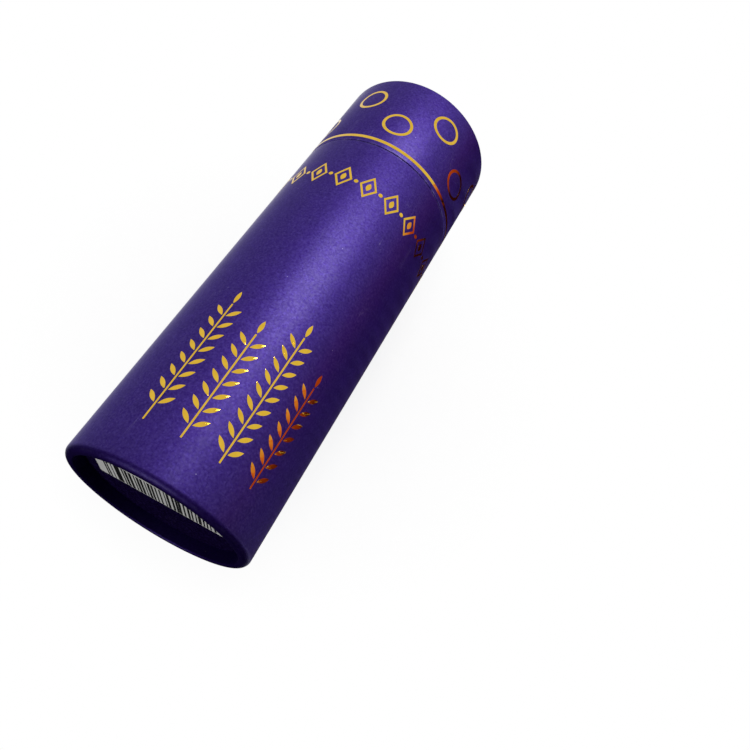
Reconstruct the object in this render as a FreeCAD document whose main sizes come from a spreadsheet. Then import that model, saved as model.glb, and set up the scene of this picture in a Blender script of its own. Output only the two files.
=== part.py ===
"""Cylindrical gift tube box: a base with a rolled bottom rim, an inner neck tube and a lift-off lid."""

import FreeCAD, Part
import os

import Sketcher

doc = FreeCAD.newDocument("gift_tube_box")

# Driving dimensions, in millimetres and degrees
SIZES = {
    "outer_diameter": 51.0,  # over the wrap paper, the same on base and lid
    "base_height": 116.5,  # from the table to the shoulder under the lid
    "lid_height": 33.3,
    "seam_gap": 0.2,  # hairline between shoulder and closed lid
    "wall_board": 1.2,  # base and lid are cut from the same wound tube
    "wrap_paper": 0.2,  # pearl paper outside, turned in at every edge
    "disc_board": 1.5,  # end discs of base and lid
    "disc_fit": 0.05,  # all round a disc that is pushed into a tube
    "lining_paper": 0.15,  # white paper inside
    "recess_depth": 3.8,  # from the table up to the bottom disc
    "rim_land": 0.4,  # flat crest of the rolled rim
    "lip_round": 0.4,  # board rounding on the inner side of the rolled rim
    "edge_round": 0.2,  # softened board edge under a turned-in paper
    "lid_edge_round": 0.4,  # board rounding round the lid's top
    "mouth_turn_in": 8.0,  # paper turned into a mouth
    "top_turn_in": 6.0,  # paper turned over the lid's top
    "facing_inset": 0.9,  # from the lid's side to the edge of its top paper
    "lid_clearance": 0.2,  # round the neck, so that the lid slides
    "neck_board": 1.0,
    "neck_paper": 0.2,
    "neck_headroom": 5.45,  # between the neck's edge and the lid's ceiling
    "label_paper": 0.1,
    "label_width": 14.4,
    "label_margin": 1.0,  # from the label's corners to the rolled lip
    "label_shift": 3.5,  # of the label from the middle, towards the front
    "label_turn": -16.0,  # of the label about the tube's axis, in degrees
    "label_corner": 0.8,
}

# Radii and heights that follow from the driving dimensions
PLACES = {
    "wall_radius": "dims.outer_diameter / 2",
    "board_radius": "wall_radius - dims.wrap_paper",
    "bore_radius": "board_radius - dims.wall_board",
    "lip_radius": "bore_radius - dims.wall_board",
    "opening_radius": "lip_radius - dims.wrap_paper",
    "turn_in_radius": "bore_radius - dims.wrap_paper",
    "disc_radius": "bore_radius - dims.disc_fit",
    "neck_radius": "turn_in_radius - dims.lid_clearance",
    "neck_board_radius": "neck_radius - dims.neck_paper",
    "neck_bore_radius": "neck_board_radius - dims.neck_board",
    "neck_turn_in_radius": "neck_bore_radius - dims.neck_paper",
    "neck_lining_radius": "neck_bore_radius - dims.lining_paper",
    "lid_lining_radius": "bore_radius - dims.lining_paper",
    "top_margin_radius": "wall_radius - dims.top_turn_in",
    "facing_radius": "wall_radius - dims.facing_inset",
    "facing_step_radius": "top_margin_radius - dims.wrap_paper",
    "curl_round": "board_radius - lip_radius - dims.rim_land - dims.lip_round",
    "curl_fold": "curl_round + dims.wrap_paper",
    "lip_fold": "dims.lip_round + dims.wrap_paper",
    "edge_fold": "dims.edge_round + dims.wrap_paper",
    "lid_edge_fold": "dims.lid_edge_round + dims.wrap_paper",
    "neck_edge_fold": "dims.edge_round + dims.neck_paper",
    "label_height": "dims.recess_depth - dims.label_paper",
    "disc_height": "dims.recess_depth + dims.wrap_paper",
    "floor_height": "disc_height + dims.disc_board",
    "neck_foot_height": "floor_height + dims.lining_paper",
    "base_board_top": "dims.base_height - dims.wrap_paper",
    "base_turn_in_end": "dims.base_height - dims.mouth_turn_in",
    "lid_bottom": "dims.base_height + dims.seam_gap",
    "lid_board_bottom": "lid_bottom + dims.wrap_paper",
    "lid_turn_in_end": "lid_bottom + dims.mouth_turn_in",
    "lid_top": "lid_bottom + dims.lid_height",
    "lid_margin_top": "lid_top - dims.wrap_paper",
    "lid_disc_top": "lid_margin_top - dims.wrap_paper",
    "lid_disc_bottom": "lid_disc_top - dims.disc_board",
    "ceiling_height": "lid_disc_bottom - dims.lining_paper",
    "neck_top": "ceiling_height - dims.neck_headroom",
    "neck_board_top": "neck_top - dims.neck_paper",
    "neck_turn_in_end": "neck_top - dims.mouth_turn_in",
    "label_reach": "opening_radius - dims.label_margin",
    "label_far_side": "dims.label_shift + dims.label_width / 2",
    "label_length": "2 * sqrt(label_reach ^ 2 - label_far_side ^ 2)",
}

TOUCH = 1e-6


def make_sheet():
    sheet = doc.addObject("Spreadsheet::Sheet", "dims")
    for row, (alias, value) in enumerate(SIZES.items(), start=1):
        sheet.set(f"A{row}", alias)
        sheet.set(f"B{row}", str(value))
        sheet.setAlias(f"B{row}", alias)
    return sheet


def make_places():
    places = doc.addObject("App::VarSet", "places")
    for name, expression in PLACES.items():
        places.addProperty("App::PropertyFloat", name, "Places")
        places.setExpression(name, expression)
    return places


def value_of(expression):
    return float(places.evalExpression(expression))


def origin_plane(body, role):
    return next(f for f in body.Origin.OriginFeatures if f.Role == role)


def new_sketch(body, role):
    sketch = body.newObject("Sketcher::SketchObject", body.Name + "_outline")
    sketch.AttachmentSupport = [(origin_plane(body, role), "")]
    sketch.MapMode = "FlatFace"
    return sketch


def pin_line(sketch, line, way, expression):
    """Holds an upright line at a radius, or a level one at a height."""
    axis = -2 if way == "r" else -1
    sketch.addConstraint(Sketcher.Constraint("Vertical" if way == "r" else "Horizontal", line))
    if value_of(expression) == 0:
        sketch.addConstraint(Sketcher.Constraint("PointOnObject", line, 1, axis))
        return
    kind = "DistanceX" if way == "r" else "DistanceY"
    index = sketch.addConstraint(Sketcher.Constraint(kind, -1, 1, line, 1, value_of(expression)))
    sketch.setExpression(f"Constraints[{index}]", f"places.{expression}" if expression in PLACES else expression)


def near_end(sketch, curve, point):
    """Which end of a curve lies at a point: 1 for its start, 2 for its end."""
    return 1 if sketch.getPoint(curve, 1).isEqual(point, TOUCH) else 2


def round_corner(sketch, before, after, corner, reach_in, reach_out, expression):
    """Joins two lines by a tangent arc whose radius follows an expression."""
    radius = value_of(expression)
    start, end = corner + reach_in * radius, corner + reach_out * radius
    centre = corner + (reach_in + reach_out) * radius
    middle = centre - (reach_in + reach_out).normalize() * radius
    arc = sketch.addGeometry(Part.Arc(start, middle, end), False)
    sketch.addConstraint(Sketcher.Constraint("Tangent", before, 2, arc, near_end(sketch, arc, start)))
    sketch.addConstraint(Sketcher.Constraint("Tangent", after, 1, arc, near_end(sketch, arc, end)))
    index = sketch.addConstraint(Sketcher.Constraint("Radius", arc, radius))
    sketch.setExpression(f"Constraints[{index}]", f"places.{expression}" if expression in PLACES else expression)


def draw_outline(sketch, sides):
    """Draws a closed loop of upright and level sides.

    A side is ("r", radius), ("z", height) or either with the rounding of the corner after it.
    """
    count = len(sides)
    places_of = [value_of(side[1]) for side in sides]
    rounds = [value_of(side[2]) if len(side) > 2 else 0 for side in sides]
    corners = []
    for i, side in enumerate(sides):
        following = places_of[(i + 1) % count]
        r, z = (places_of[i], following) if side[0] == "r" else (following, places_of[i])
        corners.append(FreeCAD.Vector(r, z, 0))
    ways = [(corners[i] - corners[i - 1]).normalize() for i in range(count)]
    for i in range(count):
        start = corners[i - 1] + ways[i] * rounds[i - 1]
        sketch.addGeometry(Part.LineSegment(start, corners[i] - ways[i] * rounds[i]), False)
    for i, side in enumerate(sides):
        pin_line(sketch, i, side[0], side[1])
    for i, side in enumerate(sides):
        following = (i + 1) % count
        if rounds[i]:
            round_corner(sketch, i, following, corners[i], -ways[i], ways[following], side[2])
        else:
            sketch.addConstraint(Sketcher.Constraint("Coincident", i, 2, following, 1))


def turned(label, sides):
    """A round piece: its outline, drawn at one side of the axis, turned once about it."""
    body = doc.addObject("PartDesign::Body", label)
    sketch = new_sketch(body, "XZ_Plane")
    draw_outline(sketch, sides)
    turn = body.newObject("PartDesign::Revolution", label + "_turned")
    turn.Profile = sketch
    turn.ReferenceAxis = (sketch, ["V_Axis"])
    turn.Angle = 360
    return body


def disc(label, radius, bottom, thickness):
    """A plain round sheet, lying level."""
    sheet_disc = doc.addObject("Part::Cylinder", label)
    sheet_disc.setExpression("Radius", radius)
    sheet_disc.setExpression("Height", thickness)
    sheet_disc.setExpression("Placement.Base.z", bottom)
    return sheet_disc


def base_tube():
    """Wound board tube, its lower edge rolled inwards into a rim of double thickness."""
    return turned("base_tube", [
        ("r", "board_radius", "curl_round"),
        ("z", "dims.wrap_paper", "dims.lip_round"),
        ("r", "lip_radius"),
        ("z", "dims.recess_depth"),
        ("r", "bore_radius", "dims.edge_round"),
        ("z", "base_board_top", "dims.edge_round"),
    ])


def base_wrap():
    """Pearl paper round the base: over the rolled rim below, turned into the mouth above."""
    return turned("base_wrap", [
        ("r", "wall_radius", "curl_fold"),
        ("z", "0", "lip_fold"),
        ("r", "opening_radius"),
        ("z", "dims.recess_depth"),
        ("r", "lip_radius", "dims.lip_round"),
        ("z", "dims.wrap_paper", "curl_round"),
        ("r", "board_radius", "dims.edge_round"),
        ("z", "base_board_top", "dims.edge_round"),
        ("r", "bore_radius"),
        ("z", "base_turn_in_end"),
        ("r", "turn_in_radius", "edge_fold"),
        ("z", "dims.base_height", "edge_fold"),
    ])


def base_ends():
    """Bottom disc on the rolled lip, with its outer facing and its inner floor paper."""
    facing = disc("base_facing", "places.disc_radius", "dims.recess_depth", "dims.wrap_paper")
    board = disc("base_disc", "places.disc_radius", "places.disc_height", "dims.disc_board")
    floor = disc("base_floor", "places.disc_radius", "places.floor_height", "dims.lining_paper")
    return [facing, board, floor]


def bottom_label():
    """Sticker on the bottom facing, its corners a margin away from the rolled lip."""
    body = doc.addObject("PartDesign::Body", "bottom_label")
    sketch = new_sketch(body, "XY_Plane")
    half_length, half_width = value_of("label_length / 2"), value_of("dims.label_width / 2")
    corners = [
        FreeCAD.Vector(-half_length, -half_width, 0),
        FreeCAD.Vector(half_length, -half_width, 0),
        FreeCAD.Vector(half_length, half_width, 0),
        FreeCAD.Vector(-half_length, half_width, 0),
    ]
    for i, corner in enumerate(corners):
        sketch.addGeometry(Part.LineSegment(corner, corners[(i + 1) % len(corners)]), False)
    for i in range(len(corners)):
        sketch.addConstraint(Sketcher.Constraint("Coincident", i, 2, (i + 1) % len(corners), 1))
        sketch.addConstraint(Sketcher.Constraint("Vertical" if i % 2 else "Horizontal", i))
    sketch.addConstraint(Sketcher.Constraint("Symmetric", 0, 1, 1, 2, -1, 1))
    length = sketch.addConstraint(Sketcher.Constraint("DistanceX", 0, 1, 0, 2, 2 * half_length))
    width = sketch.addConstraint(Sketcher.Constraint("DistanceY", 1, 1, 1, 2, 2 * half_width))
    sketch.setExpression(f"Constraints[{length}]", "places.label_length")
    sketch.setExpression(f"Constraints[{width}]", "dims.label_width")
    pad = body.newObject("PartDesign::Pad", "bottom_label_sheet")
    pad.Profile = sketch
    pad.setExpression("Length", "dims.label_paper")
    doc.recompute()
    upright = [f"Edge{i}" for i, edge in enumerate(pad.Shape.Edges, start=1)
               if abs(edge.tangentAt(edge.FirstParameter).z) > 1 - TOUCH]
    rounded = body.newObject("PartDesign::Fillet", "bottom_label_corners")
    rounded.Base = (pad, upright)
    rounded.setExpression("Radius", "dims.label_corner")
    body.Placement = FreeCAD.Placement(FreeCAD.Vector(), FreeCAD.Rotation(FreeCAD.Vector(0, 0, 1), 1))
    body.setExpression("Placement.Rotation.Angle", "dims.label_turn")
    body.setExpression("Placement.Base.x", "dims.label_shift * sin(dims.label_turn * 1 deg)")
    body.setExpression("Placement.Base.y", "-dims.label_shift * cos(dims.label_turn * 1 deg)")
    body.setExpression("Placement.Base.z", "places.label_height")
    return body


def neck():
    """Inner tube that stands on the floor and guides the lid, papered outside and in."""
    tube = turned("neck_tube", [
        ("r", "neck_board_radius"),
        ("z", "neck_foot_height"),
        ("r", "neck_bore_radius", "dims.edge_round"),
        ("z", "neck_board_top", "dims.edge_round"),
    ])
    cover = turned("neck_cover", [
        ("r", "neck_radius"),
        ("z", "neck_foot_height"),
        ("r", "neck_board_radius", "dims.edge_round"),
        ("z", "neck_board_top", "dims.edge_round"),
        ("r", "neck_bore_radius"),
        ("z", "neck_turn_in_end"),
        ("r", "neck_turn_in_radius", "neck_edge_fold"),
        ("z", "neck_top", "neck_edge_fold"),
    ])
    lining = turned("neck_lining", [
        ("r", "neck_bore_radius"),
        ("z", "neck_foot_height"),
        ("r", "neck_lining_radius"),
        ("z", "neck_turn_in_end"),
    ])
    return [tube, cover, lining]


def lid_shell():
    """Lid wall, cut from the base's tube, with a board disc on its upper end."""
    tube = turned("lid_tube", [
        ("r", "board_radius", "dims.edge_round"),
        ("z", "lid_board_bottom", "dims.edge_round"),
        ("r", "bore_radius"),
        ("z", "lid_disc_bottom"),
    ])
    top = turned("lid_disc", [
        ("r", "board_radius"),
        ("z", "lid_disc_bottom"),
        ("r", "0"),
        ("z", "lid_disc_top", "dims.lid_edge_round"),
    ])
    return [tube, top]


def lid_wrap():
    """Pearl paper round the lid: turned into the mouth below and over the disc above."""
    return turned("lid_wrap", [
        ("r", "wall_radius", "edge_fold"),
        ("z", "lid_bottom", "edge_fold"),
        ("r", "turn_in_radius"),
        ("z", "lid_turn_in_end"),
        ("r", "bore_radius", "dims.edge_round"),
        ("z", "lid_board_bottom", "dims.edge_round"),
        ("r", "board_radius", "dims.lid_edge_round"),
        ("z", "lid_disc_top"),
        ("r", "top_margin_radius"),
        ("z", "lid_margin_top", "lid_edge_fold"),
    ])


def lid_papers():
    """Round top paper that steps down inside the turned-over margin, and the white papers inside."""
    facing = turned("lid_facing", [
        ("r", "facing_radius"),
        ("z", "lid_margin_top"),
        ("r", "top_margin_radius"),
        ("z", "lid_disc_top"),
        ("r", "0"),
        ("z", "lid_margin_top"),
        ("r", "facing_step_radius"),
        ("z", "lid_top"),
    ])
    ceiling = disc("lid_ceiling", "places.disc_radius", "places.ceiling_height", "dims.lining_paper")
    lining = turned("lid_lining", [
        ("r", "bore_radius"),
        ("z", "lid_turn_in_end"),
        ("r", "lid_lining_radius"),
        ("z", "ceiling_height"),
    ])
    return [facing, ceiling, lining]


def check(parts):
    """Stops before anything is written if an object failed or a solid isn't sound."""
    for thing in doc.Objects:
        if "Invalid" in thing.State or "Error" in thing.State:
            raise RuntimeError(f"{thing.Label} failed: {thing.State}")
    for part in parts:
        shape = part.Shape
        if shape.isNull() or not shape.isValid() or len(shape.Solids) != 1:
            raise RuntimeError(f"{part.Label} is not one sound solid")


def write(parts):
    os.makedirs("parts", exist_ok=True)
    for part in parts:
        part.Shape.exportStep(f"parts/{part.Label}.step")
        box = part.Shape.optimalBoundingBox(False, False)
        print(f"{part.Label}: {box.XLength:.2f} x {box.YLength:.2f} mm, z {box.ZMin:.2f} to {box.ZMax:.2f}")


sheet = make_sheet()
places = make_places()
doc.recompute()
parts = [base_tube(), base_wrap(), *base_ends(), bottom_label(), *neck(), *lid_shell(), lid_wrap(), *lid_papers()]
doc.recompute()
check(parts)
write(parts)
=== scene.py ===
import math

import bmesh
import bpy
from mathutils import Matrix, Quaternion, Vector


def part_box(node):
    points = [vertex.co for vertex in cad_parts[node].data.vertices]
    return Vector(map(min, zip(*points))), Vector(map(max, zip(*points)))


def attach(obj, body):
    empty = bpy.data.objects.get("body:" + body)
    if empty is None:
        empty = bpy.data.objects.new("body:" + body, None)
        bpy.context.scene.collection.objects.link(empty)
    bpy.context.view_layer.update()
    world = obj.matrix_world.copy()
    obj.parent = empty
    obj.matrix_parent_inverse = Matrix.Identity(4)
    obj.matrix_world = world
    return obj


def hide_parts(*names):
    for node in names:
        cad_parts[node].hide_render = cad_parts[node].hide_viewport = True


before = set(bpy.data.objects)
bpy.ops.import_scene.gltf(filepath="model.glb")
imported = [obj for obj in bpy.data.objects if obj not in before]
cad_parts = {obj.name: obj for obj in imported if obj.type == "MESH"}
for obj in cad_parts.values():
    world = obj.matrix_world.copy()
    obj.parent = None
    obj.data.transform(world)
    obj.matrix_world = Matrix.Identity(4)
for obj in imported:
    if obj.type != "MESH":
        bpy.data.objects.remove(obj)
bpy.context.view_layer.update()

MM = 0.001


def outer_radius(node):
    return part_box(node)[1].x


def inner_radius(node):
    return min(v.co.xy.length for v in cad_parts[node].data.vertices)


# Radii and heights of the box, from the frame
WALL = outer_radius("base_wrap")
BOARD = outer_radius("base_tube")
PAPER = WALL - BOARD
OPENING = inner_radius("base_wrap")
LIP = inner_radius("base_tube")
BORE = outer_radius("lid_lining")
TURN_IN = BORE - PAPER
LID_MARGIN = inner_radius("lid_wrap")
NECK = outer_radius("neck_cover")
NECK_BOARD = outer_radius("neck_tube")
NECK_BORE = inner_radius("neck_tube")
NECK_INSIDE = inner_radius("neck_cover")
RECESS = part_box("base_facing")[0].z
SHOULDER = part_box("base_wrap")[1].z
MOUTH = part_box("lid_wrap")[0].z
MOUTH_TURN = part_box("lid_lining")[0].z - MOUTH
LID_MARGIN_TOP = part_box("lid_wrap")[1].z
LID_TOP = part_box("lid_facing")[1].z
NECK_FOOT, NECK_TOP = (corner.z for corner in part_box("neck_cover"))
LABEL_LOW, LABEL_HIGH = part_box("bottom_label")

# Roundings of the paper over the board's edges
LIP_FOLD = 0.6 * MM
EDGE_FOLD = 0.25 * MM
LID_EDGE_FOLD = 0.6 * MM
RIM_LAND = 0.4 * MM
CURL_FOLD = WALL - OPENING - RIM_LAND - LIP_FOLD

# Gold foil: how deep it is pressed and how far it stands proud
FOIL_SUNK = 0.02 * MM
FOIL_PROUD = 0.03 * MM

# Fineness of the meshes
TURN_STEPS = 240
ROUND_STEP = 0.15 * MM
LEAST_ROUND_STEPS = 4
LONG_EDGE = 2.0 * MM
LONG_EDGE_CUTS = 6
TOUCH = 0.001 * MM
SHARP_ANGLE = math.radians(40)


# Mesh helpers

def new_object(name, bm, material):
    """Turns a bmesh into an object of the scene."""
    mesh = bpy.data.meshes.new(name)
    bm.to_mesh(mesh)
    bm.free()
    mesh.materials.append(material)
    made = bpy.data.objects.new(name, mesh)
    bpy.context.scene.collection.objects.link(made)
    return made


def piece(name, bm, material, body):
    """Turns a bmesh into a smooth piece that rides on a body."""
    bmesh.ops.remove_doubles(bm, verts=bm.verts[:], dist=TOUCH)
    bmesh.ops.recalc_face_normals(bm, faces=bm.faces[:])
    made = new_object(name, bm, material)
    made.data.shade_smooth()
    made.data.set_sharp_from_angle(angle=SHARP_ANGLE)
    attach(made, body)
    return made


def turned(corners):
    """Spins a closed outline about the axis; each corner is (radius, height, rounding)."""
    bm = bmesh.new()
    verts = [bm.verts.new((radius, 0, height)) for radius, height, _ in corners]
    edges = [bm.edges.new((verts[i - 1], verts[i])) for i in range(len(verts))]
    bmesh.ops.spin(
        bm, geom=verts + edges, cent=(0, 0, 0), axis=(0, 0, 1), angle=math.tau,
        steps=TURN_STEPS, use_merge=True,
    )
    bmesh.ops.remove_doubles(bm, verts=bm.verts[:], dist=TOUCH)
    bmesh.ops.recalc_face_normals(bm, faces=bm.faces[:])
    for radius, height, rounding in corners:
        if rounding:
            round_ring(bm, radius, height, rounding)
    return bm


def round_ring(bm, radius, height, rounding):
    """Bevels the ring of edges at one corner of a turned outline."""
    def on_ring(vert):
        return abs(vert.co.z - height) < TOUCH and abs(vert.co.xy.length - radius) < TOUCH
    ring = [edge for edge in bm.edges if all(on_ring(vert) for vert in edge.verts)]
    steps = max(LEAST_ROUND_STEPS, round(rounding / ROUND_STEP))
    bmesh.ops.bevel(
        bm, geom=ring, offset=rounding, offset_type="OFFSET", affect="EDGES",
        segments=steps, profile=0.5, material=-1,
    )


def on_wall(x, z, turn=0.0):
    """Places a flat shape in front of the tube: x is the way round the wall, z the height."""
    place = Matrix.Translation((x, FOIL_SUNK - WALL, z))
    return place @ Matrix.Rotation(math.pi / 2, 4, "X") @ Matrix.Rotation(turn, 4, "Z")


def around(angle):
    """The way round the wall, from the front, at an angle in degrees."""
    return WALL * math.radians(angle)


def pressed(bm):
    """Gives flat shapes the foil's thickness and bends them round the wall."""
    long_edges = [edge for edge in bm.edges if edge.calc_length() > LONG_EDGE]
    if long_edges:
        bmesh.ops.subdivide_edges(bm, edges=long_edges, cuts=LONG_EDGE_CUTS, use_grid_fill=True)
    top = bmesh.ops.extrude_face_region(bm, geom=bm.faces[:], use_keep_orig=True)["geom"]
    top_verts = [part for part in top if isinstance(part, bmesh.types.BMVert)]
    bmesh.ops.translate(bm, verts=top_verts, vec=(0, -FOIL_SUNK - FOIL_PROUD, 0))
    for vert in bm.verts:
        angle, radius = vert.co.x / WALL, -vert.co.y
        vert.co.x = radius * math.sin(angle)
        vert.co.y = -radius * math.cos(angle)
    return bm


def faces_of(verts):
    return list({face for vert in verts for face in vert.link_faces})


# Foil motifs, drawn flat

RING_SIDES = 64
DOT_SIDES = 20
LEAF_SIDES = 20
LOZENGE_SIDES = 4


def outline(bm, sides, x, z, width, height, stroke):
    """A round or many-sided outline: a filled shape whose inner part is inset and taken out."""
    place = on_wall(x, z) @ Matrix.Diagonal((width / 2, height / 2, 1, 1))
    filled = bmesh.ops.create_circle(bm, cap_ends=True, segments=sides, radius=1, matrix=place)
    middle = faces_of(filled["verts"])
    bmesh.ops.inset_region(bm, faces=middle, thickness=stroke, use_boundary=True, use_even_offset=True)
    bmesh.ops.delete(bm, geom=middle, context="FACES_ONLY")


def dot(bm, x, z, width):
    place = on_wall(x, z)
    bmesh.ops.create_circle(bm, cap_ends=True, segments=DOT_SIDES, radius=width / 2, matrix=place)


def leaf(bm, x, z, length, width, turn):
    """A lens-shaped leaf, pointed at both ends, with a middle point so that it bends with the wall."""
    verts = bmesh.ops.create_circle(bm, cap_ends=True, segments=LEAF_SIDES, radius=1)["verts"]
    for vert in verts:
        vert.co.y *= abs(vert.co.y) * width / 2
        vert.co.x *= length / 2
    bmesh.ops.transform(bm, verts=verts, matrix=on_wall(x, z, turn))
    bmesh.ops.poke(bm, faces=faces_of(verts))


def stem(bm, x, low, high, width):
    place = on_wall(x, (low + high) / 2) @ Matrix.Diagonal((width, high - low, 1, 1))
    bmesh.ops.create_grid(bm, x_segments=1, y_segments=1, size=0.5, matrix=place)


# Foil on the lid: a line over the seam and two staggered rows of rings

LINE_MIDDLE = 118.9 * MM
LINE_HEIGHT = 1.15 * MM
RING_WIDTH = 9.55 * MM
RING_STROKE = 0.95 * MM
RINGS_ROUND = 6
# Each row has its height and the angle of its first ring
UPPER_ROW = (138.7 * MM, 11.3)
LOWER_ROW = (128.3 * MM, -18.4)


def lid_line(foil):
    low, high = LINE_MIDDLE - LINE_HEIGHT / 2, LINE_MIDDLE + LINE_HEIGHT / 2
    inside, outside = WALL - FOIL_SUNK, WALL + FOIL_PROUD
    bm = turned([(outside, low, 0), (inside, low, 0), (inside, high, 0), (outside, high, 0)])
    piece("lid_foil_line", bm, foil, "lid")


def lid_rings(foil):
    for row, (height, first) in (("upper", UPPER_ROW), ("lower", LOWER_ROW)):
        for i in range(RINGS_ROUND):
            bm = bmesh.new()
            x = around(first + i * 360 / RINGS_ROUND)
            outline(bm, RING_SIDES, x, height, RING_WIDTH, RING_WIDTH, RING_STROKE)
            piece(f"lid_foil_ring_{row}_{i + 1}", pressed(bm), foil, "lid")


# Foil on the base: a belt of lozenges, and four upright leaf sprigs in front

BELT_MIDDLE = 100.2 * MM
LOZENGE_HEIGHT = 8.9 * MM
LOZENGE_WIDTH = 5.6 * MM
LOZENGE_STROKE = 0.62 * MM
LOZENGES = 20
BELT_TURN = -9.0
SEED_HEIGHT = 3.0 * MM
SEED_WIDTH = 1.5 * MM
BELT_DOT = 1.3 * MM


def base_belt(foil):
    step = 360 / LOZENGES
    for i in range(LOZENGES):
        bm = bmesh.new()
        x = around(BELT_TURN + i * step)
        outline(bm, LOZENGE_SIDES, x, BELT_MIDDLE, LOZENGE_WIDTH, LOZENGE_HEIGHT, LOZENGE_STROKE)
        leaf(bm, x, BELT_MIDDLE, SEED_HEIGHT, SEED_WIDTH, math.pi / 2)
        dot(bm, x + around(step / 2), BELT_MIDDLE, BELT_DOT)
        piece(f"base_foil_lozenge_{i + 1}", pressed(bm), foil, "base")


# Sprigs, each with its angle and the height of its tip

SPRIG_FOOT = 11.2 * MM
SPRIGS = [(-33.2, 51.4 * MM), (-11.2, 46.4 * MM), (11.2, 53.1 * MM), (33.0, 45.1 * MM)]
STEM_WIDTH = 0.45 * MM
LEAF_LENGTH = 4.0 * MM
LEAF_WIDTH = 1.2 * MM
LEAF_TILT = math.radians(48)
LEAF_GAP = 0.3 * MM
LEAF_STEP = 3.9 * MM


def sprig(bm, x, foot, tip):
    """An upright stem with paired leaves and one leaf on top."""
    top_leaf = tip - LEAF_LENGTH
    pairs = int((top_leaf - foot - LEAF_LENGTH / 2) / LEAF_STEP)
    stem(bm, x, foot, top_leaf - LEAF_GAP, STEM_WIDTH)
    leaf(bm, x, top_leaf + LEAF_LENGTH / 2, LEAF_LENGTH, LEAF_WIDTH, math.pi / 2)
    out = STEM_WIDTH / 2 + LEAF_GAP + LEAF_LENGTH / 2 * math.sin(LEAF_TILT)
    up = LEAF_LENGTH / 2 * math.cos(LEAF_TILT)
    for i in range(pairs):
        height = top_leaf - LEAF_GAP - LEAF_LENGTH / 2 - (i + 0.5) * LEAF_STEP
        for side in (-1, 1):
            turn = math.pi / 2 - side * LEAF_TILT
            leaf(bm, x + side * out, height + up, LEAF_LENGTH, LEAF_WIDTH, turn)


def base_sprigs(foil):
    for i, (angle, tip) in enumerate(SPRIGS):
        bm = bmesh.new()
        sprig(bm, around(angle), SPRIG_FOOT, tip)
        piece(f"base_foil_sprig_{i + 1}", pressed(bm), foil, "base")


# Papers that show their edges and folds

def base_paper(paper):
    """Pearl paper of the base: over the rolled rim below, turned in at the shoulder."""
    board_top = SHOULDER - PAPER
    turn_end = SHOULDER - MOUTH_TURN
    bm = turned([
        (WALL, 0, CURL_FOLD),
        (OPENING, 0, LIP_FOLD),
        (OPENING, RECESS, 0),
        (LIP, RECESS, 0),
        (LIP, PAPER, LIP_FOLD - PAPER),
        (BOARD, PAPER, CURL_FOLD - PAPER),
        (BOARD, board_top, EDGE_FOLD - PAPER),
        (BORE, board_top, EDGE_FOLD - PAPER),
        (BORE, turn_end, 0),
        (TURN_IN, turn_end, 0),
        (TURN_IN, SHOULDER, EDGE_FOLD),
        (WALL, SHOULDER, EDGE_FOLD),
    ])
    made = piece("base_paper", bm, paper, "base")
    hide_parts("base_wrap")


def lid_paper(paper):
    """Pearl paper of the lid: turned in at the mouth and over the top."""
    board_bottom = MOUTH + PAPER
    board_top = LID_MARGIN_TOP - PAPER
    turn_end = MOUTH + MOUTH_TURN
    bm = turned([
        (WALL, MOUTH, EDGE_FOLD),
        (TURN_IN, MOUTH, EDGE_FOLD),
        (TURN_IN, turn_end, 0),
        (BORE, turn_end, 0),
        (BORE, board_bottom, EDGE_FOLD - PAPER),
        (BOARD, board_bottom, EDGE_FOLD - PAPER),
        (BOARD, board_top, LID_EDGE_FOLD - PAPER),
        (LID_MARGIN, board_top, 0),
        (LID_MARGIN, LID_MARGIN_TOP, 0),
        (WALL, LID_MARGIN_TOP, LID_EDGE_FOLD),
    ])
    made = piece("lid_paper", bm, paper, "lid")
    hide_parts("lid_wrap")


def neck_paper(paper):
    """White paper of the neck, turned over its upper edge."""
    board_top = NECK_TOP - (NECK - NECK_BOARD)
    turn_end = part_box("neck_lining")[1].z
    inner_fold = EDGE_FOLD - (NECK - NECK_BOARD)
    bm = turned([
        (NECK, NECK_FOOT, 0),
        (NECK_BOARD, NECK_FOOT, 0),
        (NECK_BOARD, board_top, inner_fold),
        (NECK_BORE, board_top, inner_fold),
        (NECK_BORE, turn_end, 0),
        (NECK_INSIDE, turn_end, 0),
        (NECK_INSIDE, NECK_TOP, EDGE_FOLD),
        (NECK, NECK_TOP, EDGE_FOLD),
    ])
    made = piece("neck_paper", bm, paper, "base")
    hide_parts("neck_cover")


# Node helpers

def feed(tree, node, values):
    """Sets a node's inputs, or links them, each by its name or number."""
    for key, value in dict(values).items():
        if isinstance(value, bpy.types.NodeSocket):
            tree.links.new(value, node.inputs[key])
        else:
            node.inputs[key].default_value = value


def add(tree, kind, values=(), **settings):
    """Adds a node with these inputs and settings."""
    node = tree.nodes.new(kind)
    for key, value in settings.items():
        setattr(node, key, value)
    feed(tree, node, values)
    return node


def calc(tree, operation, first, second=0.0, third=0.0):
    return add(tree, "ShaderNodeMath", {0: first, 1: second, 2: third}, operation=operation).outputs[0]


def remap(tree, value, low, high, to_low=0.0, to_high=1.0):
    values = {"Value": value, "From Min": low, "From Max": high, "To Min": to_low, "To Max": to_high}
    return add(tree, "ShaderNodeMapRange", values).outputs["Result"]


def mixed(tree, factor, first, second):
    """A colour between two others."""
    return add(tree, "ShaderNodeMix", {0: factor, 6: first, 7: second}, data_type="RGBA").outputs[2]


def noise(tree, vector, scale, detail=2.0, rough=0.5):
    values = {"Vector": vector, "Scale": scale, "Detail": detail, "Roughness": rough}
    return add(tree, "ShaderNodeTexNoise", values).outputs["Fac"]


def stretched(tree, vector, scale, turn):
    values = {"Vector": vector, "Scale": scale, "Rotation": turn}
    return add(tree, "ShaderNodeMapping", values).outputs["Vector"]


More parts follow.
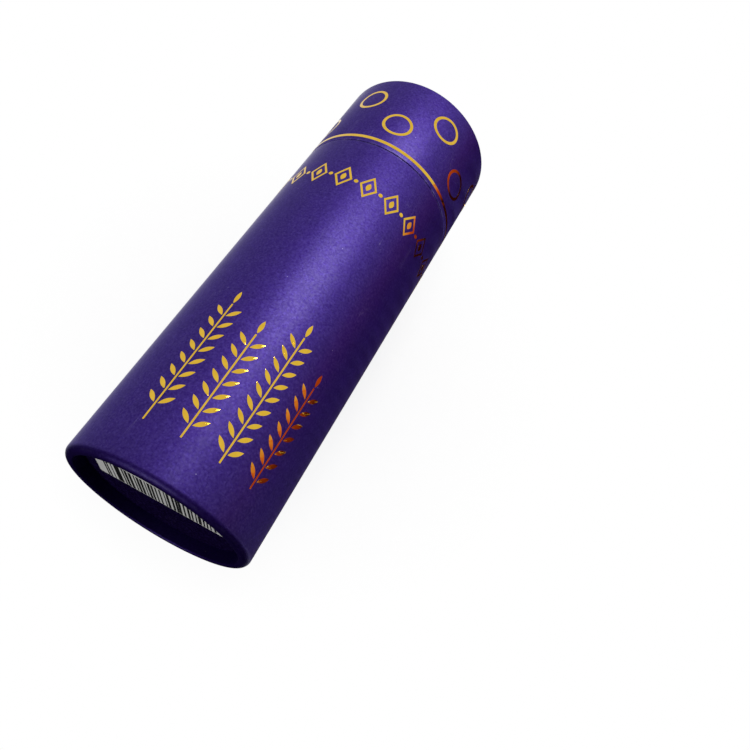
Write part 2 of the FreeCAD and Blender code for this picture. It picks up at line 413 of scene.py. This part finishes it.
def new_group(name, inputs, outputs):
    """An empty shader group with named sockets; returns its tree, its inputs and its output node."""
    tree = bpy.data.node_groups.new(name, "ShaderNodeTree")
    for label, kind in inputs:
        tree.interface.new_socket(label, in_out="INPUT", socket_type=kind)
    for label, kind in outputs:
        tree.interface.new_socket(label, in_out="OUTPUT", socket_type=kind)
    given = tree.nodes.new("NodeGroupInput").outputs
    return tree, given, tree.nodes.new("NodeGroupOutput")


def use(tree, group, values):
    return add(tree, "ShaderNodeGroup", values, node_tree=group).outputs


VALUE, VECTOR = "NodeSocketFloat", "NodeSocketVector"


# Effects that several finishes share

def paper_grain_group():
    """Fine grain, bright flecks and soft clouds of a coated paper; sizes in millimetres."""
    tree, given, out = new_group(
        "paper_grain",
        [("Vector", VECTOR), ("Grain Size", VALUE), ("Fleck Size", VALUE), ("Cloud Size", VALUE)],
        [("Grain", VALUE), ("Flecks", VALUE), ("Clouds", VALUE)],
    )
    to_mm = {0: given["Vector"], 1: (1 / MM, 1 / MM, 1 / MM)}
    vector = add(tree, "ShaderNodeVectorMath", to_mm, operation="MULTIPLY").outputs[0]
    grain_scale = calc(tree, "DIVIDE", 1.0, given["Grain Size"])
    grain = noise(tree, vector, grain_scale, detail=4.0, rough=0.6)
    fleck_scale = calc(tree, "DIVIDE", 1.0, given["Fleck Size"])
    cells = add(tree, "ShaderNodeTexVoronoi", {"Vector": vector, "Scale": fleck_scale})
    chance = add(tree, "ShaderNodeSeparateColor", {0: cells.outputs["Color"]}).outputs[0]
    flecks = remap(tree, chance, 0.55, 1.0)
    cloud_scale = calc(tree, "DIVIDE", 1.0, given["Cloud Size"])
    clouds = noise(tree, vector, cloud_scale, detail=3.0, rough=0.55)
    tree.links.new(grain, out.inputs["Grain"])
    tree.links.new(flecks, out.inputs["Flecks"])
    tree.links.new(clouds, out.inputs["Clouds"])
    return tree


def edge_wear_group():
    """A broken rub along an edge, from the distance to it; both lengths in millimetres."""
    tree, given, out = new_group(
        "edge_wear",
        [("Vector", VECTOR), ("Distance", VALUE), ("Reach", VALUE)],
        [("Mask", VALUE)],
    )
    near = remap(tree, calc(tree, "DIVIDE", given["Distance"], given["Reach"]), 1.0, 0.0)
    coarse = noise(tree, given["Vector"], scale=420.0, detail=3.0, rough=0.6)
    fine = noise(tree, given["Vector"], scale=3600.0, detail=2.0, rough=0.6)
    broken = calc(tree, "MULTIPLY", remap(tree, coarse, 0.42, 0.72), remap(tree, fine, 0.35, 0.75))
    tree.links.new(calc(tree, "MULTIPLY", near, broken), out.inputs["Mask"])
    return tree


HAIR_TURNS = ((0.3, 0.2, 0.5), (-0.4, 0.5, 1.9))
HAIR_STRETCH = (900.0, 900.0, 60.0)


def handling_marks_group():
    """Sparse hair scratches and tiny pale specks."""
    tree, given, out = new_group(
        "handling_marks",
        [("Vector", VECTOR)],
        [("Hairs", VALUE), ("Specks", VALUE)],
    )
    lines = []
    for turn in HAIR_TURNS:
        vector = stretched(tree, given["Vector"], HAIR_STRETCH, turn)
        waves = noise(tree, vector, scale=0.35, detail=1.0)
        level = calc(tree, "ABSOLUTE", calc(tree, "SUBTRACT", waves, 0.5))
        lines.append(remap(tree, level, 0.004, 0.0))
    hair = calc(tree, "MAXIMUM", *lines)
    patches = remap(tree, noise(tree, given["Vector"], scale=75.0, detail=1.0), 0.56, 0.68)
    tree.links.new(calc(tree, "MULTIPLY", hair, patches), out.inputs["Hairs"])
    cells = add(tree, "ShaderNodeTexVoronoi", {"Vector": given["Vector"], "Scale": 200.0})
    tree.links.new(remap(tree, cells.outputs["Distance"], 0.03, 0.018), out.inputs["Specks"])
    return tree


def blank(name):
    """A material without nodes, its tree and its Object coordinates."""
    material = bpy.data.materials.new(name)
    material.use_nodes = True
    tree = material.node_tree
    tree.nodes.clear()
    coords = tree.nodes.new("ShaderNodeTexCoord").outputs["Object"]
    return material, tree, coords


def show(tree, shader):
    """Makes a shader node the surface of its material."""
    out = tree.nodes.new("ShaderNodeOutputMaterial")
    tree.links.new(shader.outputs[0], out.inputs["Surface"])


def principled(name):
    """A material with a Principled BSDF: the material, its tree, its shader and its Object coordinates."""
    material, tree, coords = blank(name)
    shader = tree.nodes.new("ShaderNodeBsdfPrincipled")
    show(tree, shader)
    return material, tree, shader, coords


def bumped(tree, height, depth):
    """A normal from a height of 0 to 1 that stands for a depth in metres."""
    values = {"Height": height, "Distance": depth, "Strength": 1.0}
    return add(tree, "ShaderNodeBump", values).outputs["Normal"]


# Finishes

PEARL_FLECK = (0.06, 0.035, 0.26, 1)
RUBBED_FOLD = (0.3, 0.26, 0.46, 1)
HAIR_SCRATCH = (0.3, 0.26, 0.5, 1)
PALE_SPECK = (0.4, 0.36, 0.6, 1)
PEARL_TINT = (0.55, 0.52, 0.8, 1)
FOLDS = (0.0, SHOULDER, MOUTH, LID_TOP)
RUB_REACH_MM = 0.9


def pearl_paper(groups, name, deep, pale, flake, coat, limb_coat):
    """Violet paper, from deep to pale, with a pearl sheen and rubbed folds; flake and coat are ranges."""
    material, tree, shader, coords = principled(name)
    z = add(tree, "ShaderNodeSeparateXYZ", {0: coords}).outputs["Z"]
    flat = add(tree, "ShaderNodeVectorMath", {0: coords, 1: (1, 1, 0)}, operation="MULTIPLY")
    radius = add(tree, "ShaderNodeVectorMath", {0: flat.outputs[0]}, operation="LENGTH").outputs["Value"]
    grain = use(tree, groups["paper_grain"], {
        "Vector": coords, "Grain Size": 0.6, "Fleck Size": 0.4, "Cloud Size": 4.0,
    })
    nearest = None
    for fold in FOLDS:
        distance = calc(tree, "ABSOLUTE", calc(tree, "SUBTRACT", z, fold))
        nearest = distance if nearest is None else calc(tree, "MINIMUM", nearest, distance)
    nearest = calc(tree, "MAXIMUM", nearest, calc(tree, "SUBTRACT", WALL, radius))
    nearest_mm = calc(tree, "MULTIPLY", nearest, 1 / MM)
    wear = use(tree, groups["edge_wear"], {
        "Vector": coords, "Distance": nearest_mm, "Reach": RUB_REACH_MM,
    })["Mask"]
    marks = use(tree, groups["handling_marks"], {"Vector": coords})
    fibre = remap(tree, grain["Grain"], 0.3, 0.7)
    tone = calc(tree, "MULTIPLY_ADD", grain["Clouds"], 0.55, calc(tree, "MULTIPLY", fibre, 0.45))
    violet = mixed(tree, tone, deep, pale)
    pearl = mixed(tree, calc(tree, "MULTIPLY", grain["Flecks"], 0.25), violet, PEARL_FLECK)
    rubbed = mixed(tree, calc(tree, "MULTIPLY", wear, 0.5), pearl, RUBBED_FOLD)
    scratched = mixed(tree, calc(tree, "MULTIPLY", marks["Hairs"], 0.1), rubbed, HAIR_SCRATCH)
    colour = mixed(tree, calc(tree, "MULTIPLY", marks["Specks"], 0.4), scratched, PALE_SPECK)
    rough = remap(tree, grain["Grain"], 0.2, 0.8, 0.48, 0.56)
    facing = tree.nodes.new("ShaderNodeLayerWeight").outputs["Facing"]
    limb = calc(tree, "MULTIPLY", calc(tree, "POWER", facing, 8.0), limb_coat)
    thin_coat = remap(tree, grain["Grain"], 0.3, 0.7, *coat)
    feed(tree, shader, {
        "Base Color": colour,
        "Roughness": calc(tree, "ADD", rough, calc(tree, "MULTIPLY", wear, 0.2)),
        "Normal": bumped(tree, grain["Grain"], 0.02 * MM),
        "Metallic": remap(tree, grain["Flecks"], 0.0, 1.0, *flake),
        "Specular IOR Level": 0.0,
        "Specular Tint": PEARL_TINT,
        "Coat Weight": calc(tree, "ADD", thin_coat, limb),
        "Coat Roughness": 0.4,
        "Coat IOR": 2.0,
    })
    return material


GOLD_DEEP, GOLD_PALE = (0.58, 0.34, 0.022, 1), (0.76, 0.5, 0.06, 1)


def gold_foil(groups):
    """Hot-stamped gold foil."""
    material, tree, shader, coords = principled("gold_foil")
    grain = use(tree, groups["paper_grain"], {
        "Vector": coords, "Grain Size": 0.3, "Fleck Size": 0.25, "Cloud Size": 1.6,
    })
    gold = mixed(tree, grain["Clouds"], GOLD_DEEP, GOLD_PALE)
    feed(tree, shader, {
        "Base Color": gold,
        "Roughness": remap(tree, grain["Grain"], 0.2, 0.8, 0.02, 0.07),
        "Normal": bumped(tree, grain["Clouds"], 0.004 * MM),
        "Metallic": 1.0,
    })
    return material


WHITE_DEEP, WHITE_PALE = (0.72, 0.71, 0.68, 1), (0.8, 0.79, 0.765, 1)
WHITE_FIBRE = (0.6, 0.57, 0.5, 1)


def white_paper(groups):
    """Uncoated white lining paper."""
    material, tree, shader, coords = principled("white_paper")
    grain = use(tree, groups["paper_grain"], {
        "Vector": coords, "Grain Size": 0.12, "Fleck Size": 0.3, "Cloud Size": 6.0,
    })
    white = mixed(tree, grain["Clouds"], WHITE_DEEP, WHITE_PALE)
    fibres = mixed(tree, calc(tree, "MULTIPLY", grain["Flecks"], 0.12), white, WHITE_FIBRE)
    feed(tree, shader, {
        "Base Color": fibres,
        "Roughness": remap(tree, grain["Grain"], 0.2, 0.8, 0.7, 0.85),
        "Normal": bumped(tree, grain["Grain"], 0.03 * MM),
    })
    return material


BOARD_DEEP, BOARD_PALE = (0.3, 0.27, 0.22, 1), (0.4, 0.36, 0.3, 1)
BOARD_FIBRE = (0.5, 0.46, 0.39, 1)


def grey_board(groups):
    """Recycled board with dark and light fibres."""
    material, tree, shader, coords = principled("grey_board")
    grain = use(tree, groups["paper_grain"], {
        "Vector": coords, "Grain Size": 0.2, "Fleck Size": 0.35, "Cloud Size": 3.0,
    })
    grey = mixed(tree, grain["Clouds"], BOARD_DEEP, BOARD_PALE)
    fibres = mixed(tree, calc(tree, "MULTIPLY", grain["Flecks"], 0.5), grey, BOARD_FIBRE)
    feed(tree, shader, {
        "Base Color": fibres,
        "Roughness": remap(tree, grain["Grain"], 0.2, 0.8, 0.8, 0.92),
        "Normal": bumped(tree, grain["Grain"], 0.06 * MM),
    })
    return material


# Bars of the label, in millimetres from its middle; a bar's own middle and half width are shares of a step
LABEL_TURN = math.radians(-16)
LABEL_MIDDLE = (LABEL_LOW + LABEL_HIGH) / 2
BARS_FROM, BARS_TO = -16.9, 14.5
BARS_LOW, BARS_HIGH = -3.4, 7.0
BAR_STEP = 1.05
BAR_MIDDLE = (0.3, 0.7)
BAR_HALF_WIDTH = (0.12, 0.48)
LABEL_DEEP, LABEL_PALE = (0.8, 0.8, 0.79, 1), (0.86, 0.86, 0.85, 1)
INK_DEEP, INK_PALE = (0.008, 0.008, 0.009, 1), (0.03, 0.03, 0.032, 1)


def label_paper(groups):
    """Coated sticker with plain upright bars that spell nothing."""
    material, tree, shader, coords = principled("label_paper")
    on_label = add(tree, "ShaderNodeMapping", {
        "Vector": coords, "Location": LABEL_MIDDLE, "Rotation": (0, 0, LABEL_TURN), "Scale": (MM, MM, MM),
    }, vector_type="TEXTURE")
    along = add(tree, "ShaderNodeSeparateXYZ", {0: on_label.outputs[0]}).outputs
    grain = use(tree, groups["paper_grain"], {
        "Vector": coords, "Grain Size": 0.12, "Fleck Size": 0.3, "Cloud Size": 6.0,
    })
    steps = calc(tree, "DIVIDE", along["X"], BAR_STEP)
    step = calc(tree, "FLOOR", steps)
    chance = add(tree, "ShaderNodeTexWhiteNoise", {"W": step}, noise_dimensions="1D")
    chances = add(tree, "ShaderNodeSeparateColor", {0: chance.outputs["Color"]}).outputs
    middle = remap(tree, chances[0], 0.0, 1.0, *BAR_MIDDLE)
    half_width = remap(tree, chances[1], 0.0, 1.0, *BAR_HALF_WIDTH)
    off_middle = calc(tree, "ABSOLUTE", calc(tree, "SUBTRACT", calc(tree, "FRACT", steps), middle))
    bars = calc(tree, "LESS_THAN", off_middle, half_width)
    limits = ((along["X"], BARS_FROM, BARS_TO), (along["Y"], BARS_LOW, BARS_HIGH))
    for socket, low, high in limits:
        bars = calc(tree, "MULTIPLY", bars, calc(tree, "GREATER_THAN", socket, low))
        bars = calc(tree, "MULTIPLY", bars, calc(tree, "LESS_THAN", socket, high))
    white = mixed(tree, grain["Clouds"], LABEL_DEEP, LABEL_PALE)
    ink = mixed(tree, grain["Grain"], INK_DEEP, INK_PALE)
    feed(tree, shader, {
        "Base Color": mixed(tree, bars, white, ink),
        "Roughness": remap(tree, grain["Grain"], 0.2, 0.8, 0.6, 0.75),
        "Normal": bumped(tree, grain["Grain"], 0.012 * MM),
        "Specular IOR Level": 0.0,
    })
    return material


# Stage: a table under the standing box, and one that it lies on as seen by the camera

TABLE_SIZE = 1.6
REST_AZIMUTH = math.radians(76)
TABLE_WHITE = (0.85, 0.85, 0.85, 1)
TABLE_PAINTED_SHADOW = (0.03, 0.03, 0.035, 1)
PLAIN_WHITE = (1, 1, 1, 1)
GLOW_NEAR = 0.75


def table_paint(name, middle, fade, contact):
    """White table, seen from its upper side only; near the box it keeps a soft shadow, and closest to the
    foot it carries a painted shadow, near-black paint that reflections show too.
    """
    material, tree, coords = blank(name)
    away = add(tree, "ShaderNodeVectorMath", {0: coords, 1: middle}, operation="DISTANCE").outputs["Value"]
    paths = tree.nodes.new("ShaderNodeLightPath").outputs
    outside_painted_shadow = remap(tree, away, *contact)
    seen = calc(tree, "MULTIPLY", paths["Is Camera Ray"], remap(tree, away, *fade, GLOW_NEAR, 1.0))
    mirrored = calc(tree, "MAXIMUM", paths["Is Glossy Ray"], paths["Is Transmission Ray"])
    share = calc(tree, "MAXIMUM", seen, calc(tree, "MULTIPLY", mirrored, outside_painted_shadow))
    # Painted shadow: near the foot the table is painted near black, for the eye and in reflections
    pale = mixed(tree, outside_painted_shadow, TABLE_PAINTED_SHADOW, TABLE_WHITE)
    matt = add(tree, "ShaderNodeBsdfDiffuse", {"Color": pale})
    white = add(tree, "ShaderNodeEmission", {"Color": PLAIN_WHITE, "Strength": 1.0})
    upper = add(tree, "ShaderNodeMixShader", {0: share, 1: matt.outputs[0], 2: white.outputs[0]})
    clear = tree.nodes.new("ShaderNodeBsdfTransparent")
    under = tree.nodes.new("ShaderNodeNewGeometry").outputs["Backfacing"]
    show(tree, add(tree, "ShaderNodeMixShader", {0: under, 1: upper.outputs[0], 2: clear.outputs[0]}))
    return material


def table(name, place, paint):
    bm = bmesh.new()
    bmesh.ops.create_grid(bm, x_segments=1, y_segments=1, size=TABLE_SIZE / 2, matrix=place)
    made = new_object(name, bm, paint)
    made.visible_shadow = False


def lying_place():
    """The plane that touches the wall from behind, facing the front."""
    away = Vector((math.cos(REST_AZIMUTH), math.sin(REST_AZIMUTH), 0))
    turn = (-away).to_track_quat("Z", "Y").to_matrix().to_4x4()
    return Matrix.Translation(away * (WALL + FOIL_PROUD)) @ turn


# Shades: where they stand, how they lie, and the depths at which they turn solid and at which their
# painted reflection darkens from red to near black
SHADES_ACROSS = (26.5 * MM, 38 * MM)
SHADES_ALONG = (-41.9 * MM, 45 * MM)
SHADES_FROM, SHADES_TO = 3 * MM, 1.4 * LID_TOP
SHADE_OVERLAP = 0.86
SHADE_TILT = math.radians(8)
SHADE_LEAN = 0.45
SHADE_EDGE = (-27.4 * MM, -15.4 * MM)
SHADE_DARK = (-18.5 * MM, -5.0 * MM)
# Painted reflection: the glow of the shades, red where they start and near black behind
SHADE_REFLECTED_RED = (0.75, 0.14, 0.08, 1)
SHADE_REFLECTED_DARK = (0.03, 0.005, 0.005, 1)


def shade_painted_reflection():
    """A painted reflection: glows clay red, clear at its front edge and darker towards the back, where it
    is painted shade; seen from below only.
    """
    material, tree, coords = blank("shades_painted_reflection")
    across = add(tree, "ShaderNodeSeparateXYZ", {0: coords}).outputs
    depth = calc(tree, "MULTIPLY_ADD", across["X"], SHADE_LEAN, across["Y"])
    tone = mixed(tree, remap(tree, depth, *SHADE_DARK), SHADE_REFLECTED_RED, SHADE_REFLECTED_DARK)
    glow = add(tree, "ShaderNodeEmission", {"Color": tone, "Strength": 1.0})
    clear = tree.nodes.new("ShaderNodeBsdfTransparent")
    from_below = tree.nodes.new("ShaderNodeNewGeometry").outputs["Backfacing"]
    cover = calc(tree, "MULTIPLY", from_below, remap(tree, depth, *SHADE_EDGE))
    show(tree, add(tree, "ShaderNodeMixShader", {0: cover, 1: clear.outputs[0], 2: glow.outputs[0]}))
    return material


def shades():
    """A stack of shades on the right that only reflections show; they keep white light off that side.

    The way between two shades grows with the slope of the camera's reflected rays.
    """
    (left, right), (front, back) = SHADES_ACROSS, SHADES_ALONG
    lean = Matrix(((1, 0, 0, 0), (-SHADE_LEAN, 1, 0, 0), (0, 0, 1, 0), (0, 0, 0, 1)))
    size = Matrix.Diagonal((right - left, back - front, 1, 1))
    shape = Matrix.Rotation(-SHADE_TILT, 4, "Y") @ lean @ size
    bm = bmesh.new()
    height = SHADES_FROM
    while height < SHADES_TO:
        place = Matrix.Translation(((left + right) / 2, (front + back) / 2, height))
        bmesh.ops.create_grid(bm, x_segments=1, y_segments=1, size=0.5, matrix=place @ shape)
        rise = (height - CAMERA_EYE.z) / (-WALL - CAMERA_EYE.y)
        height += SHADE_OVERLAP * (right - left) * (rise - math.tan(SHADE_TILT))
    made = new_object("shades", bm, shade_painted_reflection())
    made.visible_camera = False
    made.visible_diffuse = False
    made.visible_shadow = False


# Lamps, in metres and watts
MIDDLE = Vector((0, 0, LID_TOP / 2))
FOOT = Vector((0, 0, 0))
LAMPS = {
    "key": {"place": (-0.05, -0.42, 0.37), "aim": MIDDLE, "size": (0.26, 0.1), "power": 1.75},
    "low_key": {"place": (-0.024, -0.42, 0.14), "aim": FOOT, "size": (0.03, 0.09), "power": 0.28},
    "low_fill": {"place": (-0.12, -0.1, -0.35), "aim": FOOT, "size": (0.2, 0.2), "power": 0.6},
    "back": {"place": (0.3, 0.4, 0.25), "aim": MIDDLE, "size": (0.3, 0.5), "power": 0.6},
}
ROOM_LIGHT = 0.15


def lamp(name, place, aim, size, power):
    data = bpy.data.lights.new(name, "AREA")
    data.shape = "RECTANGLE"
    data.size, data.size_y = size
    data.energy = power
    made = bpy.data.objects.new(name, data)
    made.location = place
    made.rotation_euler = (Vector(aim) - Vector(place)).to_track_quat("-Z", "Y").to_euler()
    bpy.context.scene.collection.objects.link(made)
    made.visible_camera = False


def surroundings(level):
    """White to the eye and in reflections, dimmer as light."""
    world = bpy.data.worlds.new("studio")
    bpy.context.scene.world = world
    world.use_nodes = True
    tree = world.node_tree
    tree.nodes.clear()
    paths = tree.nodes.new("ShaderNodeLightPath").outputs
    seen = calc(tree, "MAXIMUM", paths["Is Camera Ray"], paths["Is Glossy Ray"])
    seen = calc(tree, "MAXIMUM", seen, paths["Is Transmission Ray"])
    strength = remap(tree, seen, 0.0, 1.0, level, 1.0)
    back = add(tree, "ShaderNodeBackground", {"Color": PLAIN_WHITE, "Strength": strength})
    out = tree.nodes.new("ShaderNodeOutputWorld")
    tree.links.new(back.outputs[0], out.inputs["Surface"])


# Camera at the photograph's viewing angle

CAMERA_EYE = Vector((0, -170.25, -33.46)) * MM
CAMERA_AIM = Vector((28.86, 0, 66.53)) * MM
CAMERA_ROLL = math.radians(30.48)
CAMERA_LENS = 32.59
CAMERA_SENSOR = 36
CAMERA_NEAR = 10 * MM


def place_camera():
    data = bpy.data.cameras.new("camera")
    data.sensor_width = CAMERA_SENSOR
    data.lens = CAMERA_LENS
    data.clip_start = CAMERA_NEAR
    made = bpy.data.objects.new("camera", data)
    made.location = CAMERA_EYE
    made.rotation_mode = "QUATERNION"
    level = (CAMERA_AIM - CAMERA_EYE).to_track_quat("-Z", "Y")
    made.rotation_quaternion = level @ Quaternion((0, 0, 1), CAMERA_ROLL)
    bpy.context.scene.collection.objects.link(made)
    bpy.context.scene.camera = made


# Putting it together

groups = {
    "paper_grain": paper_grain_group(),
    "edge_wear": edge_wear_group(),
    "handling_marks": handling_marks_group(),
}
pearl = pearl_paper(
    groups, "pearl_paper",
    deep=(0.012, 0.0024, 0.083, 1), pale=(0.0265, 0.005, 0.153, 1),
    flake=(0.78, 0.95), coat=(0.06, 0.18), limb_coat=0.7,
)
# Painted shade: the bottom facing gets the wall's pearl paper made several times darker, standing in for
# the shade in the recess
shaded_inset_pearl = pearl_paper(
    groups, "inset_pearl_paper",
    deep=(0.004, 0.001, 0.018, 1), pale=(0.008, 0.002, 0.032, 1),
    flake=(0.1, 0.3), coat=(0.0, 0.02), limb_coat=0.0,
)
foil = gold_foil(groups)
white = white_paper(groups)
board = grey_board(groups)
label = label_paper(groups)

NODE_FINISHES = {
    "base_facing": shaded_inset_pearl,
    "lid_facing": pearl,
    "base_floor": white,
    "neck_lining": white,
    "lid_ceiling": white,
    "lid_lining": white,
    "base_tube": board,
    "base_disc": board,
    "neck_tube": board,
    "lid_tube": board,
    "lid_disc": board,
    "bottom_label": label,
}
for node, material in NODE_FINISHES.items():
    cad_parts[node].data.materials.clear()
    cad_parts[node].data.materials.append(material)

base_paper(pearl)
lid_paper(pearl)
neck_paper(white)
lid_line(foil)
lid_rings(foil)
base_belt(foil)
base_sprigs(foil)

floor_paint = table_paint("table_paint", FOOT, fade=(0.03, 0.14), contact=(0.03, 0.05))
behind_paint = table_paint("table_behind_paint", MIDDLE, fade=(0.02, 0.09), contact=(0.0, 0.001))
table("table", Matrix.Identity(4), floor_paint)
table("table_behind", lying_place(), behind_paint)
shades()
for name, setting in LAMPS.items():
    lamp(name, **setting)
surroundings(ROOM_LIGHT)
place_camera()

bpy.context.scene.view_settings.view_transform = "Standard"
